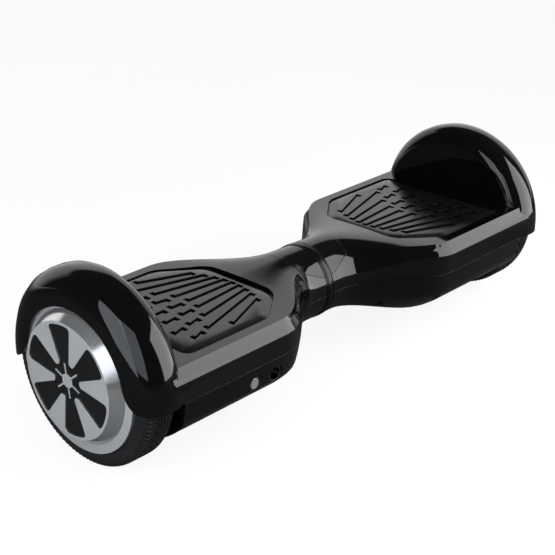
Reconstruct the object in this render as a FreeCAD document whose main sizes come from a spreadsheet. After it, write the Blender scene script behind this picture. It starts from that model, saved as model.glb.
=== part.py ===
import FreeCAD, Part

import math
import os
import re

import Sketcher
from FreeCAD import Placement, Rotation, Vector

# Two-wheeled self-balancing board. Two mirrored halves turn against each other about a tube in
# the neck. +X runs along the wheel axis, -Y is the side with the power button, +Z is up and the
# origin lies on the ground under the middle of the neck. Each half is drawn as the +X half, and
# the -X half is the same drawing turned half a turn about Z, so local +Y is its front there.

SIZES = (
    # name, value in mm (degrees or a count where said), what it measures
    ("tyre_radius", 84, "tyre, and so the height of the axle"),
    ("tyre_width", 29.5, ""),
    ("tyre_shoulder", 9, "rounding between tread and side wall"),
    ("rim_radius", 62, "seat of the tyre"),
    ("rim_wall", 7, "drum of the hub shell"),
    ("rim_end", 281.3, "outer face of the rim flange"),
    ("rim_flange_radius", 69.2, ""),
    ("rim_flange", 4.8, "thickness of the rim flange"),
    ("hub_plate", 4, "outer wall of the hub shell"),
    ("hub_face", 292, "outermost face of the wheel, half the overall length"),
    ("hub_face_radius", 52.9, ""),
    ("hub_cone_radius", 60.2, "foot of the polished cone"),
    ("hub_ring", 2.6, "rim of the face outside its windows"),
    ("hub_skin", 2.6, "thickness of the hub cap"),
    ("spoke_skin", 0.9, "thickness of its spokes"),
    ("spoke_round", 4, "rounding of the windows' outer corners"),
    ("spoke_count", 6, "count"),
    ("spoke_tip", 16, "radius at which a spoke ends"),
    ("spoke_tip_width", 7.2, ""),
    ("spoke_root_half", 12.4, "half the width of a spoke at the ring"),
    ("spoke_turn", 8, "degrees from the level to the first spoke"),
    ("star_radius", 6.4, "silver dot in the middle of the hub"),
    ("star_reach", 16, "length of its rays"),
    ("star_ray", 1.7, "width of a ray"),
    ("star_sunk", 0.3, "star below the hub face"),
    ("cover_plate", 3, "inner cover of the motor"),
    ("cover_screw", 2, "radius of a motor cover screw"),
    ("cover_screws", 6, "count"),
    ("bearing_outer", 17.5, "outer radius of a wheel bearing"),
    ("bearing_width", 10, ""),
    ("bearing_play", 0.05, "radial running clearance"),
    ("boss_wall", 5, "metal round a wheel bearing"),
    ("axle_radius", 8, ""),
    ("axle_flat", 6.2, "height of the flats on the axle"),
    ("axle_seat", 34, "length of axle held by the chassis"),
    ("motor_length", 20, "stack length of the motor"),
    ("rotor_ring", 3.4, "thickness of the back iron"),
    ("magnet_count", 20, "count"),
    ("magnet_height", 2.2, ""),
    ("magnet_width", 11, ""),
    ("air_gap", 0.7, ""),
    ("stator_teeth", 18, "count"),
    ("tooth_width", 4, ""),
    ("shoe_width", 13, ""),
    ("shoe_height", 2.4, ""),
    ("stator_ring", 7, "thickness of the ring that carries the teeth"),
    ("stator_bore", 25, "inside radius of that ring"),
    ("stator_web", 6, "thickness of its web"),
    ("coil_width", 9.4, ""),
    ("coil_overhang", 2.4, "copper beyond each end of the stack"),
    ("wheel_gap", 1.4, "between the housing and the wheel"),
    ("neck_radius", 37, ""),
    ("neck_height", 80, "pivot axis above the ground"),
    ("neck_gap", 0.9, "half the gap between the two halves"),
    ("flare_start", 20, "where the neck begins to widen"),
    ("flare_length", 102, ""),
    ("plateau_top", 109, "deck height"),
    ("plateau_half", 85.5, "half the width of the deck"),
    ("step_half", 87, "foot of the step round the deck"),
    ("step_foot", 104.4, ""),
    ("body_half", 93, "half the overall width"),
    ("bevel_foot", 97.5, "lower edge of the bevelled strip"),
    ("waist_half", 90.6, "at the middle of the side"),
    ("waist_height", 82, ""),
    ("knee_half", 86.5, "corner between side and chine"),
    ("knee_height", 54, ""),
    ("sole_half", 57, "half the width of the flat underside"),
    ("sole_height", 31, "ground clearance"),
    ("wing_end", 255, "end of the bevelled strip beside the wheel"),
    ("split_height", 77, "parting line of the two shells"),
    ("seam", 0.4, "visible gap at the parting line"),
    ("wall", 2.8, "thickness of the mouldings"),
    ("fender_wall", 240, "inner wall of the wheel arch"),
    ("fender_flat", 76, "radius of the flat part of that wall"),
    ("fender_radius", 93, ""),
    ("fender_shoulder", 16.5, "width of the rounded inner shoulder"),
    ("fender_crown", 264, "outer end of the fender's straight crown"),
    ("fender_face", 285.5, "outer face of the fender"),
    ("fender_lip", 6.5, "width of the flat ring round its opening"),
    ("fender_mouth", 63, "radius of its opening"),
    ("mouth_corner", 24, "rounding of its lower corners"),
    ("well_radius", 88, "free radius round the wheel"),
    ("mat_start", 86, "inner end of the foot mat"),
    ("mat_end", 225, ""),
    ("mat_half", 75, ""),
    ("mat_nose_half", 43, "half the width of its straight inner end"),
    ("mat_bend", 127, "where its slanted sides end"),
    ("mat_corner", 22, "radius of its inner corners"),
    ("mat_end_corner", 9, "radius of its outer corners"),
    ("mat_thick", 4.6, ""),
    ("mat_proud", 0.8, "mat above the deck"),
    ("mat_gap", 0.4, "round the mat"),
    ("mat_travel", 1.2, "how far a foot pushes the mat down"),
    ("mat_slack", 0.1, "left under the mat at the end of its travel"),
    ("mat_border", 7.5, "sloping band round the ribs of the mat"),
    ("mat_slope", 2.4, "fall of that band"),
    ("fan_start", -8, "point from which the grooves of the mat fan out"),
    ("fan_rise", 0.092, "slope from one groove to the next"),
    ("groove_start", 95, "inner end of the middle groove"),
    ("groove_stop", 154, "its outer end, where the short pieces begin"),
    ("groove_width", 4.8, ""),
    ("groove_depth", 2.2, ""),
    ("groove_hook", 3, "hook at both ends of a groove"),
    ("piece_length", 16, "short piece of groove"),
    ("piece_gap", 5, "between two pieces"),
    ("plunger_radius", 5, ""),
    ("plunger_place", 152, ""),
    ("plunger_half", 40, "plungers each side of the middle"),
    ("plunger_blade", 1.2, "thickness of the shutter under a plunger"),
    ("board_drop", 11.1, "sensor board below the tray of the mat"),
    ("board_thick", 1.6, ""),
    ("switch_height", 6, "light gate under a plunger"),
    ("chassis_half", 66, "half the width of the chassis"),
    ("chassis_floor", 70, ""),
    ("chassis_plate", 4, ""),
    ("chassis_end", 238, ""),
    ("boss_radius", 27, "pivot boss of the chassis"),
    ("boss_length", 56, ""),
    ("tube_radius", 15, "pivot tube"),
    ("tube_wall", 3.5, ""),
    ("bush_wall", 2.5, ""),
    ("limit_circle", 22, "radius at which the limiter pin sits"),
    ("limit_pin", 2, "its radius"),
    ("limit_angle", 12, "degrees of twist each way"),
    ("clamp_half", 22, "half the width of the axle clamp"),
    ("clamp_top", 94, ""),
    ("clamp_bolt", 3, "radius of a clamp bolt"),
    ("post_radius", 5, "posts that carry the chassis"),
    ("post_half", 57, ""),
    ("post_near", 124, ""),
    ("post_far", 214, ""),
    ("well_half", 80, "shell screws each side of the middle"),
    ("well_hole", 3.7, "radius of a screw well"),
    ("well_roof", 58, "where the screw head seats"),
    ("well_near", 112, ""),
    ("well_mid", 176, ""),
    ("well_far", 218, ""),
    ("drain_place", 234.6, "large blind hole beside the wheel"),
    ("drain_hole", 5.6, "its radius"),
    ("screw_radius", 1.75, ""),
    ("window_skin", 1.4, "thickness of the indicator window"),
    ("window_end", 38, ""),
    ("window_foot", 95, ""),
    ("pack_start", 126, "battery"),
    ("pack_length", 100, ""),
    ("pack_half", 49, ""),
    ("pack_height", 33, ""),
    ("main_start", 128, "control board"),
    ("main_length", 84, ""),
    ("main_half", 44, ""),
    ("main_height", 40, ""),
    ("button_place", 158, ""),
    ("socket_place", 132.5, ""),
    ("panel_height", 60.5, "button and socket above the ground"),
    ("button_radius", 5.6, ""),
    ("button_travel", 1, ""),
    ("bezel_radius", 8, ""),
    ("socket_bore", 6, "radius of the charging socket's bore"),
    ("socket_depth", 8, ""),
)

doc = FreeCAD.newDocument("hoverboard")
sheet = doc.addObject("Spreadsheet::Sheet", "Dims")
for row, (name, value, note) in enumerate(SIZES, start=1):
    sheet.set(f"A{row}", name)
    sheet.set(f"B{row}", str(value))
    sheet.set(f"C{row}", note)
    sheet.setAlias(f"B{row}", name)
doc.recompute()

ALIAS = re.compile(r"\b(" + "|".join(name for name, _, _ in SIZES) + r")\b")
NODES = []

# Places worked out from the sizes, written as sheet expressions.
WHEEL_IN = "(fender_wall + wall + wheel_gap)"
COVER_OUT = f"({WHEEL_IN} + cover_plate)"
HUB_OUT = "(rim_end - rim_flange + 1)"
HUB_IN = f"({HUB_OUT} - hub_plate)"
TYRE_MID = f"({WHEEL_IN} + 1.6 + tyre_width / 2)"
DRUM_IN = "(rim_radius - rim_wall)"
BEARING_A = f"({WHEEL_IN} + 2)"
BEARING_B = f"({HUB_IN} + 2 - bearing_width)"
BEARING_BOSS = "(bearing_outer + boss_wall)"
MOTOR_MID = f"(({COVER_OUT} + {HUB_IN}) / 2)"
STACK_IN = f"({MOTOR_MID} - motor_length / 2)"
ROTOR_IN = f"({DRUM_IN} - rotor_ring)"
STATOR_OUT = f"({ROTOR_IN} - magnet_height - 0.3 - air_gap)"
TEETH_IN = "(stator_bore + stator_ring)"
MAT_TOP = "(plateau_top + mat_proud)"
MAT_BOTTOM = f"({MAT_TOP} - mat_thick)"
RECESS_FLOOR = f"({MAT_BOTTOM} - mat_travel - mat_slack)"
TRAY_BOTTOM = f"({RECESS_FLOOR} - wall)"
BOARD = f"({TRAY_BOTTOM} - board_drop)"
BOARD_TOP = f"({BOARD} + board_thick)"
CHASSIS_TOP = BOARD


def size(text):
    """The number that an expression on the sheet gives."""
    return float(sheet.evalExpression(text))


def bind(thing, prop, text):
    """Ties a property to an expression of the sheet."""
    thing.setExpression(prop, ALIAS.sub(r"Dims.\1", text))


def role(body, name):
    return [part for part in body.Origin.OriginFeatures if part.Role == name][0]


def body(label, side, height="0"):
    """A PartDesign body on one side of the board, at a height above the ground."""
    made = doc.addObject("PartDesign::Body", label)
    made.Label = label
    made.AllowCompound = True
    made.Placement = half_turn(side)
    bind(made, "Placement.Base.z", height)
    NODES.append(made)
    return made


def half_turn(side):
    return Placement(Vector(), Rotation(Vector(0, 0, 1), 0 if side > 0 else 180))


def sketch(owner, plane, offset="0", up="0"):
    made = owner.newObject("Sketcher::SketchObject", "Sketch")
    made.AttachmentSupport = (role(owner, plane), [""])
    made.MapMode = "FlatFace"
    bind(made, "AttachmentOffset.Base.z", offset)
    bind(made, "AttachmentOffset.Base.y", up)
    return made


def pin(made, curve, end, across, up):
    """Holds one point of a sketch at two sheet expressions."""
    for kind, text in (("DistanceX", across), ("DistanceY", up)):
        index = made.addConstraint(Sketcher.Constraint(kind, curve, end, size(text)))
        bind(made, f"Constraints[{index}]", text)


def outline(made, points):
    """Closed run of straight lines through pairs of expressions."""
    spots = [Vector(size(across), size(up), 0) for across, up in points]
    ends = spots[1:] + spots[:1]
    first = made.GeometryCount
    made.addGeometry([Part.LineSegment(p, q) for p, q in zip(spots, ends)], False)
    count = len(spots)
    for i in range(count):
        follower = first + (i + 1) % count
        made.addConstraint(Sketcher.Constraint("Coincident", first + i, 2, follower, 1))
    for i, (across, up) in enumerate(points):
        pin(made, first + i, 1, across, up)


def box_outline(made, low, high, left, right):
    outline(made, ((left, low), (right, low), (right, high), (left, high)))


def circle(made, across, up, radius):
    spot = Vector(size(across), size(up), 0)
    index = made.addGeometry(Part.Circle(spot, Vector(0, 0, 1), size(radius)), False)
    rule = made.addConstraint(Sketcher.Constraint("Radius", index, size(radius)))
    bind(made, f"Constraints[{rule}]", radius)
    pin(made, index, 3, across, up)


def hexagon(made, across, up, radius):
    """Six-sided stand-in for a small screw or its hole."""
    turns = [(f"({across}) + ({radius}) * cos({angle})", f"({up}) + ({radius}) * sin({angle})")
             for angle in range(0, 360, 60)]
    outline(made, turns)


def feature(owner, kind, profile, **text):
    made = owner.newObject(f"PartDesign::{kind}", kind)
    made.Profile = profile
    for prop, value in text.items():
        bind(made, prop, value)
    return made


def pad(owner, profile, length, back=False):
    made = feature(owner, "Pad", profile, Length=length)
    made.Reversed = back
    return made


def cut_checked(owner, made, before):
    """Stops the build where a cut takes nothing away."""
    doc.recompute()
    if not made.Shape.Volume < before - 1e-3:
        raise RuntimeError(f"{owner.Label}: {made.Name} cuts nothing")
    return made


def pocket(owner, profile, depth, back=False):
    doc.recompute()
    before = owner.Shape.Volume
    made = feature(owner, "Pocket", profile, Length=depth)
    made.Reversed = back
    return cut_checked(owner, made, before)


def turned(owner, profile, kind="Revolution", angle="360"):
    """Turns a profile about the X axis of its sketch."""
    made = feature(owner, kind, profile, Angle=angle)
    made.ReferenceAxis = (profile, ["H_Axis"])
    return made


def ring_of(owner, source, count):
    """Repeats a feature round the X axis."""
    made = owner.newObject("PartDesign::PolarPattern", "PolarPattern")
    made.Originals = [source]
    made.Axis = (role(owner, "X_Axis"), [""])
    made.Angle = 360
    bind(made, "Occurrences", count)
    owner.Tip = made
    return made


def eased(owner, base, choose, amount, kind="Fillet"):
    """Fillets or chamfers the edges of a feature that a test picks."""
    doc.recompute()
    names = [f"Edge{i}" for i, edge in enumerate(base.Shape.Edges, start=1) if choose(edge)]
    made = owner.newObject(f"PartDesign::{kind}", kind)
    made.Base = (base, names)
    bind(made, "Radius" if kind == "Fillet" else "Size", amount)
    return made


def upright(edge):
    """A straight edge that runs along Z."""
    low, high = edge.Vertexes[0].Point, edge.Vertexes[-1].Point
    return abs(high.z - low.z) > 0.5 * edge.Length and abs(high.x - low.x) < 1e-4


# ---------------------------------------------------------------- wheel


def tyre(name, side):
    made = body(name + "_tyre", side, "tyre_radius")
    profile = sketch(made, "XZ_Plane")
    left, right = f"{TYRE_MID} - tyre_width / 2", f"{TYRE_MID} + tyre_width / 2"
    outline(profile, (
        (left, "rim_radius"), (right, "rim_radius"),
        (right, "tyre_radius - tyre_shoulder"), (f"{right} - 0.3 * tyre_shoulder",
                                                 "tyre_radius - 0.3 * tyre_shoulder"),
        (f"{right} - tyre_shoulder", "tyre_radius"), (f"{left} + tyre_shoulder", "tyre_radius"),
        (f"{left} + 0.3 * tyre_shoulder", "tyre_radius - 0.3 * tyre_shoulder"),
        (left, "tyre_radius - tyre_shoulder")))
    turned(made, profile)
    return made


def rim(name, side):
    """Hub shell: the drum that carries tyre and magnets, closed on its outer side."""
    made = body(name + "_rim", side, "tyre_radius")
    profile = sketch(made, "XZ_Plane")
    flange_in = "rim_end - rim_flange"
    outline(profile, (
        (COVER_OUT, DRUM_IN), (COVER_OUT, "rim_radius"), (flange_in, "rim_radius"),
        (flange_in, "rim_flange_radius"), ("rim_end", "rim_flange_radius"),
        ("rim_end", "hub_cone_radius + 0.2"), (HUB_OUT, "hub_cone_radius + 0.2"), (HUB_OUT, "0"),
        (f"{HUB_IN} + 2", "0"), (f"{HUB_IN} + 2", "bearing_outer"),
        (BEARING_B, "bearing_outer"), (BEARING_B, BEARING_BOSS),
        (HUB_IN, BEARING_BOSS), (HUB_IN, DRUM_IN)))
    turned(made, profile)
    holes = sketch(made, "YZ_Plane", COVER_OUT)
    hexagon(holes, "0", f"{DRUM_IN} + rim_wall / 2", "cover_screw")
    ring_of(made, pocket(made, holes, "9", back=True), "cover_screws")
    return made


def hub_cap(name, side):
    """Silver face of the wheel: a polished cone and six spokes that end before the middle."""
    made = body(name + "_hub_cap", side, "tyre_radius")
    profile = sketch(made, "XZ_Plane")
    outline(profile, (
        (HUB_OUT, "hub_cone_radius"), ("rim_end", "hub_cone_radius"),
        ("hub_face", "hub_face_radius"), ("hub_face", "hub_face_radius - hub_ring"),
        ("hub_face - hub_skin", "hub_face_radius - hub_ring"),
        (HUB_OUT, "hub_cone_radius - hub_skin - 1")))
    turned(made, profile)
    spoke = sketch(made, "YZ_Plane", "hub_face - spoke_skin")
    tip = "spoke_tip + spoke_tip_width / 2"
    root = "hub_face_radius - hub_ring + 0.4"
    turn = lambda r, s: (f"({r}) * cos(spoke_turn) - ({s}) * sin(spoke_turn)",
                         f"({r}) * sin(spoke_turn) + ({s}) * cos(spoke_turn)")
    outline(spoke, (turn(tip, "-spoke_tip_width / 2"), turn(root, "-spoke_root_half"),
                    turn(root, "spoke_root_half"), turn(tip, "spoke_tip_width / 2")))
    ring_of(made, pad(made, spoke, "spoke_skin"), "spoke_count")
    knob = sketch(made, "YZ_Plane", "hub_face - spoke_skin")
    circle(knob, *turn(tip, "0"), "spoke_tip_width / 2")
    ring = ring_of(made, pad(made, knob, "spoke_skin"), "spoke_count")
    eased(made, ring, window_corner, "spoke_round")
    return made


def window_corner(edge):
    """A short edge along X where a spoke of the hub cap meets the ring."""
    ends = [vertex.Point for vertex in edge.Vertexes]
    radius = math.hypot(ends[0].y, ends[0].z)
    across = max(abs(ends[0].y - ends[-1].y), abs(ends[0].z - ends[-1].z))
    return (len(ends) == 2 and across < 1e-4 and edge.Length < size("spoke_skin") + 1e-3
            and abs(radius - size("hub_face_radius - hub_ring")) < 0.01)


def hub_insert(name, side):
    """Black disc behind the windows of the hub cap, on a foot in the middle of the hub shell."""
    made = body(name + "_hub_insert", side, "tyre_radius")
    profile = sketch(made, "XZ_Plane")
    front = "hub_face - spoke_skin"
    outline(profile, (
        (front, "0"), (front, "hub_face_radius - hub_ring - 0.3"),
        (f"{front} - 2.4", "hub_face_radius - hub_ring - 0.3"),
        (HUB_OUT, "spoke_tip"), (HUB_OUT, "0")))
    turned(made, profile)
    return made


def hub_star(name, side):
    made = body(name + "_hub_star", side, "tyre_radius")
    start = "hub_face - spoke_skin"
    dot = sketch(made, "YZ_Plane", start)
    circle(dot, "0", "0", "star_radius")
    height = "spoke_skin - star_sunk"
    pad(made, dot, height)
    ray = sketch(made, "YZ_Plane", start)
    angle = "(spoke_turn + 180 / spoke_count)"
    turn = lambda r, s: (f"({r}) * cos({angle}) - ({s}) * sin({angle})",
                         f"({r}) * sin({angle}) + ({s}) * cos({angle})")
    outline(ray, (turn("star_radius / 2", "-star_ray / 2"), turn("star_reach", "-star_ray / 2"),
                  turn("star_reach", "star_ray / 2"), turn("star_radius / 2", "star_ray / 2")))
    ring_of(made, pad(made, ray, height), "spoke_count")
    return made


def motor_cover(name, side):
    """Inner lid of the hub motor, with the seat of the inner bearing."""
    made = body(name + "_motor_cover", side, "tyre_radius")
    profile = sketch(made, "XZ_Plane")
    bearing_end = f"{BEARING_A} + bearing_width"
    outline(profile, (
        (WHEEL_IN, "axle_radius + 1"), (WHEEL_IN, "rim_radius - 0.4"),
        (COVER_OUT, "rim_radius - 0.4"), (COVER_OUT, BEARING_BOSS), (bearing_end, BEARING_BOSS),
        (bearing_end, "bearing_outer"), (BEARING_A, "bearing_outer"),
        (BEARING_A, "axle_radius + 1")))
    turned(made, profile)
    holes = sketch(made, "YZ_Plane", COVER_OUT)
    hexagon(holes, "0", f"{DRUM_IN} + rim_wall / 2", "cover_screw")
    ring_of(made, pocket(made, holes, "cover_plate"), "cover_screws")
    return made


def cover_screws(name, side):
    made = body(name + "_cover_screws", side, "tyre_radius")
    shank = sketch(made, "YZ_Plane", WHEEL_IN)
    hexagon(shank, "0", f"{DRUM_IN} + rim_wall / 2", "cover_screw")
    ring_of(made, pad(made, shank, "cover_plate + 8.5"), "cover_screws")
    return made


def rotor_ring(name, side):
    """Back iron, round outside and with a flat for each magnet inside."""
    made = body(name + "_rotor_ring", side, "tyre_radius")
    profile = sketch(made, "YZ_Plane", STACK_IN)
    circle(profile, "0", "0", DRUM_IN)
    corner = f"({ROTOR_IN} / cos(180 / magnet_count))"
    outline(profile, [(f"{corner} * cos({step + 0.5} * 360 / magnet_count)",
                       f"{corner} * sin({step + 0.5} * 360 / magnet_count)")
                      for step in range(int(size("magnet_count")))])
    pad(made, profile, "motor_length")
    return made


def magnets(name, side):
    made = body(name + "_magnets", side, "tyre_radius")
    block = sketch(made, "YZ_Plane", STACK_IN)
    box_outline(block, f"{ROTOR_IN} - magnet_height", ROTOR_IN,
                "-magnet_width / 2", "magnet_width / 2")
    ring_of(made, pad(made, block, "motor_length"), "magnet_count")
    return made


def bearings(name, side):
    """The two ball bearings of the wheel, drawn as closed rings that run on the axle."""
    made = body(name + "_bearings", side, "tyre_radius")
    profile = sketch(made, "XZ_Plane")
    for start in (BEARING_A, BEARING_B):
        box_outline(profile, "axle_radius + bearing_play", "bearing_outer", start,
                    f"{start} + bearing_width")
    turned(made, profile)
    return made


# ---------------------------------------------------------------- motor parts held by the chassis


def axle(name, side):
    made = body(name + "_axle", side, "tyre_radius")
    bar = sketch(made, "YZ_Plane", "chassis_end - axle_seat")
    circle(bar, "0", "0", "axle_radius")
    rod = pad(made, bar, f"{BEARING_B} + bearing_width - 0.5 - chassis_end + axle_seat")
    flats = sketch(made, "YZ_Plane", "chassis_end - axle_seat")
    for low, high in (("axle_flat", "axle_radius + 1"), ("-axle_radius - 1", "-axle_flat")):
        box_outline(flats, low, high, "-axle_radius", "axle_radius")
    doc.recompute()
    cut = feature(made, "Pocket", flats, Length="axle_seat - 4")
    cut.Reversed = True
    cut_checked(made, cut, rod.Shape.Volume)
    return made


def stator_core(name, side):
    """Laminated star on a web that sits on the axle."""
    made = body(name + "_stator_core", side, "tyre_radius")
    profile = sketch(made, "XZ_Plane")
    web_in = f"{MOTOR_MID} - stator_web / 2"
    web_out = f"{MOTOR_MID} + stator_web / 2"
    stack_out = f"{STACK_IN} + motor_length"
    outline(profile, (
        (web_in, "axle_radius"), (web_in, "stator_bore"), (STACK_IN, "stator_bore"),
        (STACK_IN, TEETH_IN), (stack_out, TEETH_IN), (stack_out, "stator_bore"),
        (web_out, "stator_bore"), (web_out, "axle_radius")))
    turned(made, profile)
    tooth = sketch(made, "YZ_Plane", STACK_IN)
    top = f"sqrt({STATOR_OUT} ^ 2 - shoe_width ^ 2 / 4)"
    outline(tooth, (
        ("-tooth_width / 2", f"{TEETH_IN} - 1"), ("tooth_width / 2", f"{TEETH_IN} - 1"),
        ("tooth_width / 2", f"{top} - shoe_height"), ("shoe_width / 2", f"{top} - 1"),
        ("shoe_width / 2", top), ("-shoe_width / 2", top), ("-shoe_width / 2", f"{top} - 1"),
        ("-tooth_width / 2", f"{top} - shoe_height")))
    ring_of(made, pad(made, tooth, "motor_length"), "stator_teeth")
    return made


def stator_windings(name, side):
    """One copper coil round each tooth."""
    made = body(name + "_stator_windings", side, "tyre_radius")
    bottom = f"{TEETH_IN} + 1.6"
    top = f"(sqrt({STATOR_OUT} ^ 2 - shoe_width ^ 2 / 4) - shoe_height - 0.6)"
    coil = sketch(made, "YZ_Plane", f"{STACK_IN} - coil_overhang")
    box_outline(coil, bottom, top, "-coil_width / 2", "coil_width / 2")
    block = pad(made, coil, "motor_length + 2 * coil_overhang")
    slot = sketch(made, "YZ_Plane", f"{STACK_IN}")
    box_outline(slot, f"{bottom} - 1", f"{top} + 1", "-tooth_width / 2", "tooth_width / 2")
    doc.recompute()
    cut = feature(made, "Pocket", slot, Length="motor_length")
    cut.Reversed = True
    cut_checked(made, cut, block.Shape.Volume)
    many = ring_of(made, block, "stator_teeth")
    many.Originals = [block, cut]
    return made


# ---------------------------------------------------------------- housing


CORNERS = (
    # corner of the deck's section (half width, height), the angle in degrees from the top at
    # which the same corner lies on the round neck, and how far the next side bows out
    ("0", "plateau_top + 0.4", 0, 0),
    ("plateau_half", "plateau_top", 38, 0),
    ("step_half", "step_foot", 44, 0),
    ("body_half", "bevel_foot", 50, 0),
    ("waist_half", "waist_height", 88, 0.4),
    ("knee_half", "knee_height", 125, 2),
    ("sole_half", "sole_height", 155, 0),
    ("0", "sole_height", 180, 0),
)


def section(x, blend, inset):
    """Closed wire across the housing, from the round neck at blend 0 to the deck at blend 1.

    The outside is made of arcs. Moved in by an inset it becomes straight, as the inside is.
    """
    radius, middle = size("neck_radius"), size("neck_height")
    half, bows = [], []
    for index, (across, up, angle, bow) in enumerate(CORNERS):
        turn = math.radians(angle)
        neck = Vector(x, radius * math.sin(turn), middle + radius * math.cos(turn))
        half.append(neck + (Vector(x, size(across), size(up)) - neck) * blend)
        if index + 1 < len(CORNERS):
            span = math.radians(CORNERS[index + 1][2] - angle)
            bows.append(radius * (1 - math.cos(span / 2)) * (1 - blend) + bow * blend)
    corners = half + [Vector(p.x, -p.y, p.z) for p in half[-2:0:-1]]
    bows = bows + bows[::-1]
    ends = corners[1:] + corners[:1]
    normals = [Vector(0, p.z - q.z, q.y - p.y).normalize() for p, q in zip(corners, ends)]
    spots = []
    for i, corner in enumerate(corners):
        before, after = normals[i - 1], normals[i]
        spots.append(corner - (before + after) * (inset / (1 + before.dot(after))))
    edges = []
    for i, (start, end) in enumerate(zip(spots, spots[1:] + spots[:1])):
        if inset > size("window_skin") or bows[i] < 1e-3:
            edges.append(Part.LineSegment(start, end).toShape())
        else:
            edges.append(Part.Arc(start, (start + end) * 0.5 + normals[i] * bows[i], end).toShape())
    return Part.Wire(edges)


def housing_form(inset, start, end, steps):
    """Solid of one half's housing, its skin moved in by inset, between two places along X."""
    first, length = size("flare_start"), size("flare_length")
    shares = [step / steps for step in range(steps + 1)]
    flare = Part.makeLoft([section(first + share * length, (1 - math.cos(math.pi * share)) / 2, inset)
                           for share in shares], True, True)
    neck = Part.Face(section(start, 0, inset)).extrude(Vector(first - start, 0, 0))
    deck = Part.Face(section(first + length, 1, inset)).extrude(Vector(end - first - length, 0, 0))
    return neck.fuse([flare, deck])


def block(x0, x1, y0, y1, z0, z1):
    return Part.makeBox(x1 - x0, y1 - y0, z1 - z0, Vector(x0, y0, z0))


def turned_about_axle(points):
    """Solid turned about the wheel axis from (x, radius) points."""
    height = size("tyre_radius")
    spots = [Vector(x, 0, height + r) for x, r in points]
    face = Part.Face(Part.makePolygon(spots + spots[:1]))
    return face.revolve(Vector(0, 0, height), Vector(1, 0, 0), 360)


def shoulder(x, radius, reach, fall, steps):
    """Quarter of an ellipse from the crown of the arch, reach along X and fall inwards."""
    turns = [math.pi / 2 * step / steps for step in range(steps + 1)]
    return [(x + reach * math.sin(t), radius - fall * (1 - math.cos(t))) for t in turns]


def arch_skin(inset, steps):
    """Points of the wheel arch's skin, moved in by inset: flat wall, shoulder, crown, shoulder."""
    radius, flat = size("fender_radius") - inset, size("fender_flat")
    inner, crown = size("fender_wall") + inset, size("fender_crown")
    start, mouth = size("fender_wall + fender_shoulder"), size("fender_mouth + fender_lip")
    reach = size("fender_face") - inset - crown
    rise = shoulder(start, radius, inner - start, radius - flat, steps)
    return [(inner, 0)] + rise[::-1] + shoulder(crown, radius, reach, radius - mouth, steps)


def fender():
    """Wheel arch with a lip round its opening: half a turn about the axle, carried straight down below it."""
    mouth, face, wall, height = size("fender_mouth"), size("fender_face"), size("wall"), size("tyre_radius")
    outside = arch_skin(0, 5) + [(face, mouth), (face - wall, mouth)]
    spots = [Vector(x, radius, height) for x, radius in outside + arch_skin(wall, 3)[::-1]]
    half = Part.Face(Part.makePolygon(spots + spots[:1]))
    foot = half.extrude(Vector(0, 0, size("split_height") - 5 - height))
    return half.revolve(Vector(0, 0, height), Vector(1, 0, 0), 180).fuse(
        [foot, foot.mirror(Vector(0, 0, 0), Vector(0, 1, 0))])


def mouth_room():
    """Opening of the wheel arch: a circle that runs out into the parting line in two round corners."""
    height, radius, corner = size("tyre_radius"), size("fender_mouth"), size("mouth_corner")
    low, start = size("split_height"), size("fender_crown")
    middle_up = low + corner
    middle = math.sqrt((radius + corner) ** 2 - (middle_up - height) ** 2)
    share = radius / (radius + corner)
    touch = Vector(start, middle * share, height + (middle_up - height) * share)
    foot = Vector(start, middle, low)
    slant = math.radians(225)
    halfway = Vector(start, middle + corner * math.cos(slant), middle_up + corner * math.sin(slant))
    mirrored = [Vector(p.x, -p.y, p.z) for p in (foot, halfway, touch)]
    under = Vector(start, middle, low - 10)
    wire = Part.Wire([
        Part.Arc(touch, halfway, foot).toShape(), Part.LineSegment(foot, under).toShape(),
        Part.LineSegment(under, Vector(start, -middle, low - 10)).toShape(),
        Part.LineSegment(Vector(start, -middle, low - 10), mirrored[0]).toShape(),
        Part.Arc(*mirrored).toShape(),
        Part.Arc(mirrored[2], Vector(start, 0, height + radius), touch).toShape()])
    return Part.Face(wire).extrude(Vector(size("fender_face - fender_crown") + 2, 0, 0))


def arch_space():
    """Room under the wheel arch, bounded half-way through the arch's wall."""
    end, mouth = size("fender_face") + 5, size("fender_mouth")
    return turned_about_axle(arch_skin(size("wall") / 2, 5) + [(end, mouth), (end, 0)])


def mat_prism(grow, low, high):
    """The mat's outline, grown and raised between two heights."""
    start, end = size("mat_start") - grow, size("mat_end") + grow
    half, nose, bend = size("mat_half") + grow, size("mat_nose_half"), size("mat_bend")
    corners = [Vector(x, y, low) for x, y in (
        (start, -nose), (bend, -half), (end, -half), (end, half), (bend, half), (start, nose))]
    face = Part.Face(Part.makePolygon(corners + corners[:1]))
    solid = face.extrude(Vector(0, 0, high - low))
    inner = [e for e in solid.Edges if upright(e) and e.BoundBox.XMax < end - 1]
    outer = [e for e in solid.Edges if upright(e) and e.BoundBox.XMax > end - 1]
    solid = solid.makeFillet(size("mat_corner") + grow, inner)
    outer = [e for e in solid.Edges if upright(e) and e.BoundBox.XMax > end - 1e-3
             and abs(abs(e.BoundBox.YMax) - half) < 1e-3]
    return solid.makeFillet(size("mat_end_corner") + grow, outer)


def screw_places():
    """Shell screws of one half as (x, y)."""
    far = [(size(x), size("well_half")) for x in ("well_near", "well_mid", "well_far")]
    near = [(size("flare_start + flare_length * 0.46"), size("well_half") * 0.54)]
    return [(x, y * turn) for x, y in near + far for turn in (1, -1)]


def column(x, y, radius, low, high):
    return Part.makeCylinder(radius, high - low, Vector(x, y, low))


def hex_column(x, y, radius, low, high):
    corners = [Vector(x + radius * math.cos(turn), y + radius * math.sin(turn), low)
               for turn in [math.radians(60 * k) for k in range(7)]]
    return Part.Face(Part.makePolygon(corners)).extrude(Vector(0, 0, high - low))


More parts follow.
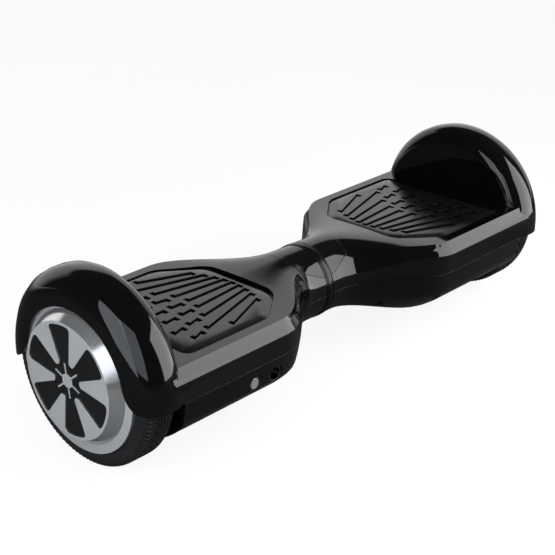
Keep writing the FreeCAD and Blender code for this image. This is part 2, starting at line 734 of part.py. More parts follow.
def shell_node(label, side, shape):
    made = doc.addObject("Part::Feature", label)
    made.Label = label
    made.Shape = shape
    made.Placement = half_turn(side)
    NODES.append(made)
    return made


def window_region(grow):
    """Slanted block, seen from the front, that the indicator window is cut with."""
    gap, foot, end = size("neck_gap") + 3 - grow, size("window_foot") - grow, size("window_end") + grow
    deck, above = size("plateau_top"), size("plateau_top + neck_radius")
    corners = [Vector(x, -60, z) for x, z in (
        (gap, foot), (gap + 4, foot), (end - 5, deck - 3 - grow), (end, deck + 8), (end, above), (gap, above))]
    return Part.Face(Part.makePolygon(corners + corners[:1])).extrude(Vector(0, 120, 0))


def axle_hole(grow):
    start = Vector(size("fender_wall") - 20, 0, size("tyre_radius"))
    return Part.makeCylinder(size("axle_radius") + grow, 40, start, Vector(1, 0, 0))


def upper_shell(name, side):
    """Deck, neck top and wheel arch in one moulding, with the recess of the foot mat."""
    split, wall, deck = size("split_height"), size("wall"), size("plateau_top")
    above = block(-1, 300, -120, 120, split, 220)
    beside = block(0, size("fender_wall") + 1, -120, 120, 0, 220)
    tray = mat_prism(size("mat_gap") + wall, size(TRAY_BOTTOM), deck - wall / 2).common(beside)
    posts = [hex_column(x, y, size("well_hole") + 1.6, split, deck - wall / 2)
             for x, y in screw_places()]
    skin = OUTER.cut([CAVITY, arch_space()])
    arch = fender().cut(mouth_room()).common(above)
    if arch.Volume < fender().common(above).Volume * 0.9:
        raise ValueError("the wheel arch of the " + name + " half was lost")
    shell = skin.common(above).fuse([arch, tray] + posts)
    cuts = [mat_prism(size("mat_gap"), size(RECESS_FLOOR), deck + 20), WINDOW_ROOM, axle_hole(1.5)]
    cuts += [hex_column(x, y, size("screw_radius"), split - 1, split + 9)
             for x, y in screw_places()]
    cuts += [column(size("plunger_place"), turn * size("plunger_half"),
                    size("plunger_radius + 0.4"), size(BOARD_TOP), deck) for turn in (1, -1)]
    return shell_node(name + "_upper_shell", side, shell.cut(cuts).removeSplitter())


def lower_shell(name, side):
    """Belly of the housing, with the wells of its screws and the posts of the chassis."""
    split, wall, head = size("split_height - seam"), size("wall"), size("well_roof")
    sole, inner = size("sole_height") - 1, size("fender_wall + wall")
    below = block(-1, inner, -120, 120, 0, split)
    drains = [(size("drain_place"), turn * size("well_half - 5")) for turn in (1, -1)]
    posts = [hex_column(x, y, size("well_hole") + 2.6, sole, split) for x, y in screw_places()]
    posts += [hex_column(x, y, size("drain_hole") + 2.6, sole, head + 2) for x, y in drains]
    posts += [hex_column(x, turn * size("post_half"), size("post_radius"), sole, size("chassis_floor"))
              for x in (size("post_near"), size("post_far")) for turn in (1, -1)]
    inside = OUTER.common(block(-1, inner, -120, 120, 0, split))
    shell = OUTER.cut(CAVITY).common(below)
    shell = shell.fuse([post.common(inside) for post in posts])
    cuts = [WINDOW_ROOM, axle_hole(1.5)]
    for x, y in screw_places():
        cuts.append(column(x, y, size("well_hole"), 0, head))
        cuts.append(hex_column(x, y, size("screw_radius"), head - 1, split + 1))
    cuts += [column(x, y, size("drain_hole"), 0, head) for x, y in drains]
    if side < 0:
        cuts += [Part.makeCylinder(size("bezel_radius") + 0.2, 20, Vector(
            size(place), size("knee_half") - 10, size("panel_height")), Vector(0, 1, 0))
            for place in ("button_place", "socket_place")]
    return shell_node(name + "_lower_shell", side, shell.cut(cuts).removeSplitter())


def indicator_window(name, side):
    """Glossy saddle on the neck over the battery and riding lights."""
    shape = OUTER.common(window_region(-0.3)).cut(SKIN)
    return shell_node(name + "_indicator_window", side, shape)


def shell_screws(name, side):
    made = body(name + "_shell_screws", side)
    heads = sketch(made, "XY_Plane", "well_roof - 2.4")
    shanks = sketch(made, "XY_Plane", "well_roof")
    places = [(x, "well_half") for x in ("well_near", "well_mid", "well_far")]
    places.append(("flare_start + flare_length * 0.46", "well_half * 0.54"))
    for x, y in places:
        for sign in ("", "-"):
            hexagon(heads, x, f"{sign}({y})", "well_hole - 0.2")
            hexagon(shanks, x, f"{sign}({y})", "screw_radius")
    pad(made, heads, "2.4")
    pad(made, shanks, "split_height + 8 - well_roof")
    return made


# ---------------------------------------------------------------- foot mat and sensing


def foot_mat(name, side):
    """Ribbed rubber mat with a sloping border, guided by its recess in the deck."""
    made = body(name + "_foot_mat", side)
    plan = sketch(made, "XY_Plane", MAT_BOTTOM)
    outline(plan, (
        ("mat_start", "-mat_nose_half"), ("mat_bend", "-mat_half"), ("mat_end", "-mat_half"),
        ("mat_end", "mat_half"), ("mat_bend", "mat_half"), ("mat_start", "mat_nose_half")))
    slab = pad(made, plan, "mat_thick - mat_slope")
    end = size("mat_end") - 1
    round_ = eased(made, slab, lambda e: upright(e) and e.BoundBox.XMax < end, "mat_corner")
    half = size("mat_half")
    ends = eased(made, round_, lambda e: upright(e) and e.BoundBox.XMax > end
                 and abs(abs(e.BoundBox.YMax) - half) < 1e-3, "mat_end_corner")
    doc.recompute()
    top = max(range(len(ends.Shape.Faces)), key=lambda i: ends.Shape.Faces[i].CenterOfMass.z)
    border = feature(made, "Pad", (ends, [f"Face{top + 1}"]), Length="mat_slope",
                     TaperAngle="-atan(mat_border / mat_slope)")
    for line in range(-4, 5):
        grooves = sketch(made, "XY_Plane", MAT_TOP)
        for start, stop in groove_pieces(line):
            hooked_groove(grooves, line, start, stop)
        pocket(made, grooves, "groove_depth")
    mat_studs(made)
    return made


def groove_pieces(line):
    """Stretches of one groove of the fan, from the middle outwards: a long one and short ones."""
    start = f"(groove_start + {0.7 * line * line})"
    if abs(line) == 4:
        return [(start, "(groove_stop + 6)")]
    stop = f"(groove_stop + {3 * line * line})"
    made = [(start, stop)]
    while size(f"{stop} + piece_gap + piece_length") < size("mat_end - mat_border - 2"):
        start, stop = f"({stop} + piece_gap)", f"({stop} + piece_gap + piece_length)"
        made.append((start, stop))
    return made


def hooked_groove(made, line, start, stop):
    """One stretch of groove on its ray, hooked one way at its inner end and the other at its outer."""
    half, wide, hook = "groove_width / 2", "groove_width", "groove_hook"
    ray = lambda x: f"({line}) * fan_rise * ({x} - fan_start)"
    outline(made, (
        (start, f"{ray(start)} - {half}"),
        (f"{stop} - {wide}", f"{ray(stop)} - {half}"),
        (f"{stop} - {wide}", f"{ray(stop)} - {half} - {hook}"),
        (stop, f"{ray(stop)} - {half} - {hook}"),
        (stop, f"{ray(stop)} + {half}"),
        (f"{start} + {wide}", f"{ray(start)} + {half}"),
        (f"{start} + {wide}", f"{ray(start)} + {half} + {hook}"),
        (start, f"{ray(start)} + {half} + {hook}")))


def mat_studs(made):
    """Two studs under the mat whose shutters close the light gates of the sensor board."""
    studs = sketch(made, "XY_Plane", f"{MAT_BOTTOM} + 0.5")
    blades = sketch(made, "XY_Plane", f"{MAT_BOTTOM} + 0.5")
    for sign in ("", "-"):
        circle(studs, "plunger_place", f"{sign}plunger_half", "plunger_radius")
        box_outline(blades, f"{sign}plunger_half - plunger_blade / 2",
                    f"{sign}plunger_half + plunger_blade / 2",
                    "plunger_place - 3.5", "plunger_place + 3.5")
    stud = f"{MAT_BOTTOM} - {BOARD_TOP} - switch_height - mat_travel"
    pad(made, studs, stud, back=True)
    pad(made, blades, f"{stud} + 2.2", back=True)


def sensor_board(name, side):
    """Gyro board across the chassis."""
    made = body(name + "_sensor_board", side)
    plan = sketch(made, "XY_Plane", BOARD)
    box_outline(plan, "-plunger_half - 14", "plunger_half + 14", "plunger_place - 18",
                "plunger_place + 16")
    pad(made, plan, "board_thick")
    chip = sketch(made, "XY_Plane", BOARD_TOP)
    box_outline(chip, "-6", "6", "plunger_place - 10", "plunger_place + 2")
    box_outline(chip, "12", "22", "plunger_place - 14", "plunger_place - 8")
    pad(made, chip, "2.2")
    return made


def light_gates(name, side):
    made = body(name + "_light_gates", side)
    plan = sketch(made, "XY_Plane", BOARD_TOP)
    slots = sketch(made, "XY_Plane", f"{BOARD_TOP} + switch_height")
    for sign in ("", "-"):
        box_outline(plan, f"{sign}plunger_half - 4", f"{sign}plunger_half + 4",
                    "plunger_place - 6", "plunger_place + 6")
        box_outline(slots, f"{sign}plunger_half - 1.6", f"{sign}plunger_half + 1.6",
                    "plunger_place - 7", "plunger_place + 7")
    pad(made, plan, "switch_height")
    pocket(made, slots, "switch_height - 1.5")
    return made


# ---------------------------------------------------------------- chassis and pivot


def chassis(name, side):
    """Die-cast tray with the pivot boss at one end and the seat of the axle at the other."""
    made = body(name + "_chassis", side)
    bore = "tube_radius + bush_wall" if side > 0 else "tube_radius"
    outer = (("34", "-20"), ("74", "-30"), ("122", "-chassis_half"), ("chassis_end", "-chassis_half"),
             ("chassis_end", "chassis_half"), ("122", "chassis_half"), ("74", "30"), ("34", "20"))
    plate = sketch(made, "XY_Plane", "chassis_floor")
    outline(plate, outer)
    pad(made, plate, "chassis_plate")
    rail = sketch(made, "XY_Plane", "chassis_floor")
    outline(rail, outer)
    outline(rail, (("40", "-17"), ("75", "-26"), ("123", "4 - chassis_half"),
                   ("chassis_end - 4", "4 - chassis_half"), ("chassis_end - 4", "chassis_half - 4"),
                   ("123", "chassis_half - 4"), ("75", "26"), ("40", "17")))
    pad(made, rail, f"{CHASSIS_TOP} - chassis_floor")
    ribs = sketch(made, "XY_Plane", "chassis_floor")
    for place in ("84", "plunger_place - 14", "plunger_place + 10", "chassis_end - axle_seat - 6"):
        reach = "32" if place == "84" else "chassis_half - 2"
        box_outline(ribs, f"-{reach}" if place == "84" else f"-({reach})", reach,
                    f"{place} - 1.5", f"{place} + 1.5")
    pad(made, ribs, f"{BOARD} - chassis_floor")
    boss = sketch(made, "YZ_Plane", "neck_gap + 2.2")
    circle(boss, "0", "neck_height", "boss_radius")
    pad(made, boss, "boss_length")
    seat = sketch(made, "XY_Plane", "chassis_floor")
    box_outline(seat, "-clamp_half", "clamp_half", "chassis_end - axle_seat", "chassis_end")
    pad(made, seat, "tyre_radius - chassis_floor - 0.3")
    hole = sketch(made, "YZ_Plane", "0")
    circle(hole, "0", "neck_height", bore)
    pocket(made, hole, "boss_length + 20", back=True)
    cradle = sketch(made, "YZ_Plane", "chassis_end - axle_seat - 10")
    circle(cradle, "0", "tyre_radius", "axle_radius")
    pocket(made, cradle, "axle_seat + 20", back=True)
    bolts = sketch(made, "XY_Plane", CHASSIS_TOP)
    for place in ("chassis_end - axle_seat + 7", "chassis_end - 9"):
        for sign in ("", "-"):
            hexagon(bolts, place, f"{sign}(clamp_half - 5)", "clamp_bolt")
    pocket(made, bolts, f"{CHASSIS_TOP} - chassis_floor - 2")
    gate = sketch(made, "YZ_Plane", "chassis_end - axle_seat - 1")
    box_outline(gate, "tyre_radius - 0.3", f"{BOARD} + 1", "-clamp_half - 0.3", "clamp_half + 0.3")
    pocket(made, gate, "axle_seat + 5", back=True)
    limiter = sketch(made, "XZ_Plane", "0", "neck_height")
    if side > 0:
        box_outline(limiter, "limit_circle - limit_pin - 0.3", "limit_circle + limit_pin + 0.3",
                    "0", "neck_gap + 8")
        doc.recompute()
        before = made.Shape.Volume
        slot = turned(made, limiter, "Groove", "2 * (limit_angle + 6.2)")
        slot.Midplane = True
        cut_checked(made, slot, before)
    else:
        hole = sketch(made, "YZ_Plane", "0")
        circle(hole, "0", "neck_height + limit_circle", "limit_pin")
        pocket(made, hole, "neck_gap + 10", back=True)
    return made


def axle_clamp(name, side):
    made = body(name + "_axle_clamp", side)
    cap = sketch(made, "YZ_Plane", "chassis_end - axle_seat")
    outline(cap, (("-clamp_half", "tyre_radius + 0.3"), ("clamp_half", "tyre_radius + 0.3"),
                  ("clamp_half", "clamp_top - 4"), ("clamp_half - 9", "clamp_top"),
                  ("9 - clamp_half", "clamp_top"), ("-clamp_half", "clamp_top - 4")))
    pad(made, cap, "axle_seat - 1")
    bore = sketch(made, "YZ_Plane", "chassis_end - axle_seat - 10")
    circle(bore, "0", "tyre_radius", "axle_radius")
    pocket(made, bore, "axle_seat + 20", back=True)
    bolts = sketch(made, "XY_Plane", "clamp_top")
    for place in ("chassis_end - axle_seat + 7", "chassis_end - 9"):
        for sign in ("", "-"):
            hexagon(bolts, place, f"{sign}(clamp_half - 5)", "clamp_bolt")
    pocket(made, bolts, "clamp_top - tyre_radius + 2")
    return made


def clamp_bolts(name, side):
    made = body(name + "_clamp_bolts", side)
    shanks = sketch(made, "XY_Plane", "chassis_floor + 2")
    heads = sketch(made, "XY_Plane", "clamp_top")
    for place in ("chassis_end - axle_seat + 7", "chassis_end - 9"):
        for sign in ("", "-"):
            hexagon(shanks, place, f"{sign}(clamp_half - 5)", "clamp_bolt")
            hexagon(heads, place, f"{sign}(clamp_half - 5)", "clamp_bolt * 1.6")
    pad(made, shanks, "clamp_top - chassis_floor - 2")
    pad(made, heads, "3.4")
    return made


def pivot_tube():
    """Steel tube in the neck: fast in the left chassis, running in the right one."""
    made = body("pivot_tube", 1, "neck_height")
    ends = "boss_length + neck_gap + 2.2"
    tube = sketch(made, "YZ_Plane", f"-({ends})")
    circle(tube, "0", "0", "tube_radius")
    circle(tube, "0", "0", "tube_radius - tube_wall")
    pad(made, tube, f"2 * ({ends}) + 4.5")
    groove = sketch(made, "XZ_Plane")
    box_outline(groove, "tube_radius - 1.2", "tube_radius + 1", f"{ends} + 0.3", f"{ends} + 2.1")
    doc.recompute()
    cut_checked(made, turned(made, groove, "Groove"), made.Shape.Volume)
    return made


def retaining_ring():
    made = body("retaining_ring", 1, "neck_height")
    ends = "boss_length + neck_gap + 2.2"
    ring = sketch(made, "XZ_Plane")
    box_outline(ring, "tube_radius - 1.2", "tube_radius + bush_wall - 0.3", f"{ends} + 0.3", f"{ends} + 2.1")
    turned(made, ring)
    gap = sketch(made, "YZ_Plane", "0")
    box_outline(gap, "0", "tube_radius + 6", "-4", "4")
    pocket(made, gap, "boss_length + 20", back=True)
    return made


def pivot_bush():
    """Plastic sleeve that the tube turns in, with a collar between the two bosses."""
    made = body("pivot_bush", 1, "neck_height")
    profile = sketch(made, "XZ_Plane")
    near = "neck_gap + 2.2"
    low, high = "tube_radius + bearing_play", "tube_radius + bush_wall"
    box_outline(profile, low, high, f"0.3 - ({near})", f"{near} + boss_length")
    turned(made, profile)
    return made


def pivot_seal():
    """Felt ring that closes the gap between the two necks."""
    made = body("pivot_seal", 1, "neck_height")
    profile = sketch(made, "XZ_Plane")
    box_outline(profile, "neck_radius - 6", "neck_radius - 0.8", "-neck_gap", "neck_gap - 0.3")
    turned(made, profile)
    return made


def limiter_pin():
    made = body("limiter_pin", 1, "neck_height")
    rod = sketch(made, "YZ_Plane", "-neck_gap - 10")
    circle(rod, "0", "limit_circle", "limit_pin")
    pad(made, rod, "2 * neck_gap + 17.5")
    return made


# ---------------------------------------------------------------- electrics


def battery_pack():
    """Ten-cell pack in shrink wrap, on the floor of the right housing."""
    made = body("battery_pack", 1)
    plan = sketch(made, "XY_Plane", "sole_height + wall + 0.3")
    box_outline(plan, "-pack_half", "pack_half", "pack_start", "pack_start + pack_length")
    slab = pad(made, plan, "pack_height")
    long_way = size("pack_length") - 1
    eased(made, slab, lambda e: abs(e.BoundBox.XLength) > long_way, "8")
    return made


def main_board():
    """Motor controller: board, capacitors and the row of connectors."""
    made = body("main_board", -1)
    plan = sketch(made, "XY_Plane", "main_height")
    box_outline(plan, "-main_half", "main_half", "main_start", "main_start + main_length")
    pad(made, plan, "board_thick")
    tall = sketch(made, "XY_Plane", "main_height + board_thick")
    for step in (0, 1):
        circle(tall, "main_start + 14", f"{step} * 18 - 9", "7")
    pad(made, tall, "20")
    low = sketch(made, "XY_Plane", "main_height + board_thick")
    for step in range(5):
        box_outline(low, f"{step} * 15 - 36", f"{step} * 15 - 26", "main_start + main_length - 9",
                    "main_start + main_length - 2")
    pad(made, low, "8")
    legs = sketch(made, "XY_Plane", "main_height")
    for x in ("main_start + 5", "main_start + main_length - 5"):
        for sign in ("", "-"):
            hexagon(legs, x, f"{sign}(main_half - 5)", "3.5")
    pad(made, legs, "main_height - sole_height - wall - 0.3", back=True)
    return made


def heat_sink():
    """Finned bar over the power transistors of the control board."""
    made = body("heat_sink", -1)
    comb = sketch(made, "YZ_Plane", "main_start + 34")
    base, half = "main_height + board_thick", "30"
    outline(comb, ((f"-{half}", base), (half, base), (half, f"{base} + 5"), (f"-{half}", f"{base} + 5")))
    pad(made, comb, "30")
    fins = sketch(made, "YZ_Plane", "main_start + 34")
    for step in range(7):
        box_outline(fins, f"{base} + 4", f"{base} + 18", f"{step} * 9.5 - 30", f"{step} * 9.5 - 27")
    pad(made, fins, "30")
    return made


def button_bezel():
    made = body("button_bezel", -1)
    face = "knee_half + 1.2"
    plan = sketch(made, "XZ_Plane", f"-({face})")
    circle(plan, "button_place", "panel_height", "bezel_radius - 0.05")
    circle(plan, "button_place", "panel_height", "button_radius + 0.3")
    pad(made, plan, "9")
    back = sketch(made, "XZ_Plane", f"-({face}) + 9")
    circle(back, "button_place", "panel_height", "bezel_radius - 0.05")
    pad(made, back, "2")
    return made


def power_button():
    """Domed cap that travels inwards against its own spring."""
    made = body("power_button", -1)
    plan = sketch(made, "XZ_Plane", "-(knee_half + 0.6)")
    circle(plan, "button_place", "panel_height", "button_radius")
    cap = pad(made, plan, "8.1 - button_travel")
    front = size("knee_half + 0.6") - 1e-3
    eased(made, cap, lambda e: e.BoundBox.YMin > front, "0.8", "Chamfer")
    return made


def charge_socket():
    """Round charging socket with three contact holes in its floor."""
    made = body("charge_socket", -1)
    face = "knee_half + 0.4"
    barrel = sketch(made, "XZ_Plane", f"-({face})")
    circle(barrel, "socket_place", "panel_height", "bezel_radius - 0.05")
    pad(made, barrel, "socket_depth + 5")
    bore = sketch(made, "XZ_Plane", f"-({face})")
    circle(bore, "socket_place", "panel_height", "socket_bore")
    pocket(made, bore, "socket_depth", back=True)
    return made


# ---------------------------------------------------------------- the board

OUTER = housing_form(0, size("neck_gap"), size("wing_end"), 12)
CAVITY = housing_form(size("wall"), size("neck_gap") - 5, size("fender_wall"), 6)
SKIN = housing_form(size("window_skin"), size("neck_gap") - 5, size("wing_end") + 5, 12)
WINDOW_ROOM = OUTER.common(window_region(0)).cut(SKIN)

PER_SIDE = (
    tyre, rim, hub_cap, hub_insert, hub_star, motor_cover, cover_screws, rotor_ring, magnets,
    bearings, axle, stator_core, stator_windings, upper_shell, lower_shell, indicator_window, shell_screws,
    foot_mat, sensor_board, light_gates, chassis, axle_clamp, clamp_bolts,
)
for name, side in (("left", -1), ("right", 1)):
    for build in PER_SIDE:
        build(name, side)
for build in (pivot_tube, retaining_ring, pivot_bush, pivot_seal, limiter_pin, battery_pack,
              main_board, heat_sink, button_bezel, power_button, charge_socket):
    build()

doc.recompute()
faults = [f"{thing.Name}: {thing.State}" for thing in doc.Objects
          if {"Invalid", "Error"} & set(thing.State)]
faults += [node.Label for node in NODES if node.Shape.isNull() or not node.Shape.isValid()]
if faults:
    raise RuntimeError("; ".join(faults))
os.makedirs("parts", exist_ok=True)
for node in NODES:
    node.Shape.exportStep(f"parts/{node.Label}.step")
    low, high = node.Shape.BoundBox, node.Shape.Volume
    print(f"{node.Label}: {len(node.Shape.Solids)} solids, {high:.0f} mm3")
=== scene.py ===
"""Looks of the self balancing hoverboard.

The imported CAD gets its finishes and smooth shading. Treaded tyres and the ring of the neck joint stand in for
their plainer solids, and a plain studio goes round it all.
"""
import math

import bmesh
import bpy
from mathutils import Matrix, Vector


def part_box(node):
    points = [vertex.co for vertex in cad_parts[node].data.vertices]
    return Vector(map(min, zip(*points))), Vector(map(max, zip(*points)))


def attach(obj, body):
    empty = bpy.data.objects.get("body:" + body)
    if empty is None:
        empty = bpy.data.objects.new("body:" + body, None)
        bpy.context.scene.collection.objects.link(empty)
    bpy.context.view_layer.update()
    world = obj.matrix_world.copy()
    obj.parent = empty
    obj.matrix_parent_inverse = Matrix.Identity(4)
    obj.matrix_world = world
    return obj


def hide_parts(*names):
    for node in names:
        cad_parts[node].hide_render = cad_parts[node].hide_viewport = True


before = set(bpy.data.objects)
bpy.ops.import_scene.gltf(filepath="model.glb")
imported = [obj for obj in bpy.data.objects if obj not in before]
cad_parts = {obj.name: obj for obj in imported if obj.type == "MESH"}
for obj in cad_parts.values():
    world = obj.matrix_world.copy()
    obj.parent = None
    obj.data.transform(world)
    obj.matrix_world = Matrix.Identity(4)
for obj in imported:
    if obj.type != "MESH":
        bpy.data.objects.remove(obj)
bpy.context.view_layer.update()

MM = 0.001
SHARP = math.radians(32)        # an edge that turns by more than this stays sharp
NOISE_SPAN = (0.3, 0.7)         # of a noise's values, over which roughness goes from end to end
TINT_SPAN = (0.35, 0.65)        # and over which colour does


# ------------------------------------------------------------------------------------------ node helpers

class Nodes:
    """A short way to add and wire nodes in one tree."""

    def __init__(self, tree):
        self.tree = tree
        tree.nodes.clear()

    def add(self, kind, inputs=None, **properties):
        """Adds a node. Each input is a plain value, or the output of another node that is wired to it."""
        node = self.tree.nodes.new(kind)
        for name, value in properties.items():
            setattr(node, name, value)
        for socket, source in (inputs or {}).items():
            if isinstance(source, bpy.types.NodeSocket):
                self.tree.links.new(source, node.inputs[socket])
            else:
                node.inputs[socket].default_value = source
        return node

    def compute(self, operation, *values):
        """The result of one step of arithmetic."""
        return self.add("ShaderNodeMath", dict(enumerate(values)), operation=operation).outputs[0]

    def noise(self, place, scale, detail=3.0, roughness=0.5):
        """Noise over the given coordinates."""
        node = self.add("ShaderNodeTexNoise",
                        {"Vector": place, "Scale": scale, "Detail": detail, "Roughness": roughness})
        return node.outputs["Fac"]

    def ranged(self, value, start, end, low=0.0, high=1.0):
        """Maps start..end of a value to low..high."""
        node = self.add("ShaderNodeMapRange",
                        {"Value": value, "From Min": start, "From Max": end, "To Min": low, "To Max": high})
        return node.outputs["Result"]

    def tint(self, value, dark, light):
        """A colour between two colours."""
        node = self.add("ShaderNodeValToRGB", {"Fac": value})
        for end, position, colour in zip(node.color_ramp.elements, TINT_SPAN, (dark, light)):
            end.position = position
            end.color = (*colour, 1.0)
        return node.outputs["Color"]

    def mix(self, share, first, second):
        """The first shader where the share is nought, and the second where it is one."""
        return self.add("ShaderNodeMixShader", {0: share, 1: first, 2: second}).outputs[0]


PATCHES = dict(scale=25.0, detail=4.0, roughness=0.6)       # the noise behind a colour
ACROSS = 0.25                   # of a turn, so that the gloss spreads across the marks of turning


def blank(name, light):
    """A new material and its empty node tree."""
    made = bpy.data.materials.new(name)
    made.use_nodes = True
    made.diffuse_color = (*light, 1.0)
    return made, Nodes(made.node_tree)


def surface_of(nodes, dark, light, rough, *, metallic=0.0, specular=0.5, grain=900.0, grain_height=0.01,
               wear=60.0, edge=0.4, anisotropic=0.0, shade=None):
    """A surface whose colour, roughness and fine relief all vary, with its sharp edges seen a little rounded.

    Wear and grain are scales of noise. The grain's height and the edge's radius are in millimetres. Shade,
    where it is given, is painted shade that holds back the gloss. Anisotropic marks run round the axle.
    """
    place = nodes.add("ShaderNodeTexCoord").outputs["Object"]
    colour = nodes.tint(nodes.noise(place, **PATCHES), dark, light)
    worn = nodes.ranged(nodes.noise(place, wear, detail=5.0, roughness=0.65), *NOISE_SPAN, *rough)
    rounded = nodes.add("ShaderNodeBevel", {"Radius": edge * MM}, samples=4).outputs["Normal"]
    relief = nodes.add("ShaderNodeBump", {"Height": nodes.noise(place, grain, detail=2.0), "Normal": rounded,
                                          "Strength": 1.0, "Distance": grain_height * MM}).outputs["Normal"]
    inputs = {"Base Color": colour, "Roughness": worn, "Normal": relief, "Metallic": metallic,
              "Specular IOR Level": specular}
    # Painted shade: the gloss is scaled down wherever the shade mask falls below one.
    if shade is not None:
        inputs["Specular IOR Level"] = nodes.compute("MULTIPLY", shade, specular)
    if anisotropic:
        inputs["Anisotropic"] = anisotropic
        inputs["Anisotropic Rotation"] = ACROSS
        turning = nodes.add("ShaderNodeTangent", direction_type="RADIAL", axis="X")
        inputs["Tangent"] = turning.outputs["Tangent"]
    return nodes.add("ShaderNodeBsdfPrincipled", inputs).outputs["BSDF"]


def facing(nodes, axis, start, end):
    """One where the true surface faces along an axis, nought where it doesn't."""
    geometry = nodes.add("ShaderNodeNewGeometry")
    parts = nodes.add("ShaderNodeSeparateXYZ", {"Vector": geometry.outputs["True Normal"]})
    return nodes.ranged(nodes.compute("ABSOLUTE", parts.outputs[axis]), start, end)


# ---------------------------------------------------------------------------------------------- finishes

AXLE_FACING = (0.86, 0.90)      # how squarely a face of the hub looks along the axle, from polish to satin
# The next three set where the mat's gloss is held back as painted shade in its grooves.
MAT_TOP = (0.93, 0.98)          # share of the mat's height, from its grooves to the tops of its ribs
MAT_FLAT = (0.975, 0.99)        # how squarely a face of the mat looks up, from its slopes to its flats
MAT_WALL = (0.3, 0.6)           # the same, from the walls of its grooves to its slopes


def grey(value):
    """A neutral colour."""
    return (value, value, value)


def finish_of(name, dark, light, rough, **settings):
    """A material of one varied surface."""
    made, nodes = blank(name, light)
    nodes.add("ShaderNodeOutputMaterial", {"Surface": surface_of(nodes, dark, light, rough, **settings)})
    return made


def turned_finish(name, dark, light, satin_rough, polished_rough):
    """Alloy, satin where it faces along the axle, polished with marks of turning on its cones and rims."""
    made, nodes = blank(name, light)
    polished = surface_of(nodes, grey(0.72), grey(0.78), polished_rough, metallic=0.82, anisotropic=0.8,
                          grain_height=0.003)
    satin = surface_of(nodes, dark, light, satin_rough, metallic=0.35, grain=1600.0)
    surface = nodes.mix(facing(nodes, "X", *AXLE_FACING), polished, satin)
    nodes.add("ShaderNodeOutputMaterial", {"Surface": surface})
    return made


def mat_finish(name, dark, light, rough, **settings):
    """Satin rubber with painted shade in its grooves: their floors and walls give back little gloss."""
    made, nodes = blank(name, light)
    place = nodes.add("ShaderNodeTexCoord").outputs["Generated"]
    height = nodes.add("ShaderNodeSeparateXYZ", {"Vector": place}).outputs["Z"]
    # Painted shade: the gloss fades out on groove floors below the rib tops and on the upright groove walls.
    top = nodes.ranged(height, *MAT_TOP)
    slope = nodes.ranged(facing(nodes, "Z", *MAT_FLAT), 0.0, 1.0, 1.0, 0.0)
    painted_lit = nodes.compute("MAXIMUM", top, slope)
    shade = nodes.compute("MULTIPLY", painted_lit, facing(nodes, "Z", *MAT_WALL))
    surface = surface_of(nodes, dark, light, rough, shade=shade, **settings)
    nodes.add("ShaderNodeOutputMaterial", {"Surface": surface})
    return made


# Each finish has its name, its two colours and its range of roughness, then what sets it apart.
FINISHES = {
    "shell": finish_of("gloss_black_abs", grey(0.0020), grey(0.0030), (0.03, 0.06),
                       grain=260.0, grain_height=0.004, wear=35.0),
    "window": finish_of("smoked_acrylic", grey(0.0035), grey(0.0050), (0.04, 0.07),
                        specular=0.42, grain=200.0, grain_height=0.003),
    "mat": mat_finish("moulded_rubber", grey(0.006), grey(0.010), (0.17, 0.25),
                      grain=1500.0, grain_height=0.006, edge=0.5),
    "tread": finish_of("tyre_rubber", grey(0.012), grey(0.022), (0.46, 0.62),
                       specular=0.4, grain=1200.0, grain_height=0.03),
    "seal": finish_of("seal_rubber", grey(0.003), grey(0.005), (0.12, 0.20),
                      specular=0.3, grain=1500.0, grain_height=0.02),
    "hub_shell": turned_finish("cast_alloy_rim", grey(0.60), grey(0.66), (0.34, 0.42), (0.14, 0.20)),
    "hub_silver": turned_finish("satin_silver", grey(0.63), grey(0.68), (0.32, 0.40), (0.12, 0.18)),
    "hub_black": finish_of("hub_black_plastic", grey(0.006), grey(0.010), (0.30, 0.40), grain=1000.0),
    "cast_frame": finish_of("cast_alloy", grey(0.34), grey(0.44), (0.42, 0.56),
                            metallic=1.0, grain=600.0, grain_height=0.06),
    "steel": finish_of("turned_steel", grey(0.42), grey(0.52), (0.20, 0.32),
                       metallic=1.0, grain=1200.0, grain_height=0.008),
    "fastener": finish_of("black_zinc", grey(0.05), grey(0.08), (0.28, 0.40), metallic=1.0, grain=1500.0),
    "laminations": finish_of("silicon_steel", grey(0.22), grey(0.30), (0.35, 0.50),
                             metallic=1.0, grain=2000.0, grain_height=0.02),
    "copper": finish_of("enamelled_copper", (0.55, 0.20, 0.08), (0.72, 0.30, 0.13), (0.24, 0.36),
                        metallic=1.0, grain=1800.0, grain_height=0.03),
    "magnet": finish_of("nickel_magnet", grey(0.48), grey(0.56), (0.18, 0.28),
                        metallic=1.0, grain_height=0.005),
    "nylon": finish_of("natural_nylon", (0.62, 0.60, 0.54), (0.72, 0.70, 0.63), (0.42, 0.55),
                       grain_height=0.012),
    "circuit": finish_of("circuit_board", (0.008, 0.060, 0.022), (0.012, 0.085, 0.032), (0.28, 0.42),
                         grain=1500.0, grain_height=0.012),
    "gate_black": finish_of("gate_plastic", grey(0.012), grey(0.018), (0.35, 0.5),
                            grain=1200.0, grain_height=0.012),
    "fins": finish_of("anodised_fins", grey(0.16), grey(0.21), (0.36, 0.5),
                      metallic=1.0, grain=1200.0, grain_height=0.012),
    "cells": finish_of("cell_wrap", (0.010, 0.055, 0.17), (0.016, 0.075, 0.22), (0.22, 0.36),
                       grain=700.0, grain_height=0.02),
    "bezel": finish_of("bezel_plastic", grey(0.008), grey(0.012), (0.18, 0.28),
                       specular=0.4, grain=1200.0, grain_height=0.008),
    "button": finish_of("button_silver", grey(0.36), grey(0.42), (0.24, 0.34),
                        metallic=0.4, grain=1200.0, grain_height=0.005),
    "socket": finish_of("socket_black_chrome", grey(0.14), grey(0.18), (0.18, 0.28),
                        metallic=1.0, grain=1200.0, grain_height=0.008),
}


# ---------------------------------------------------------------------------------------- smooth shading

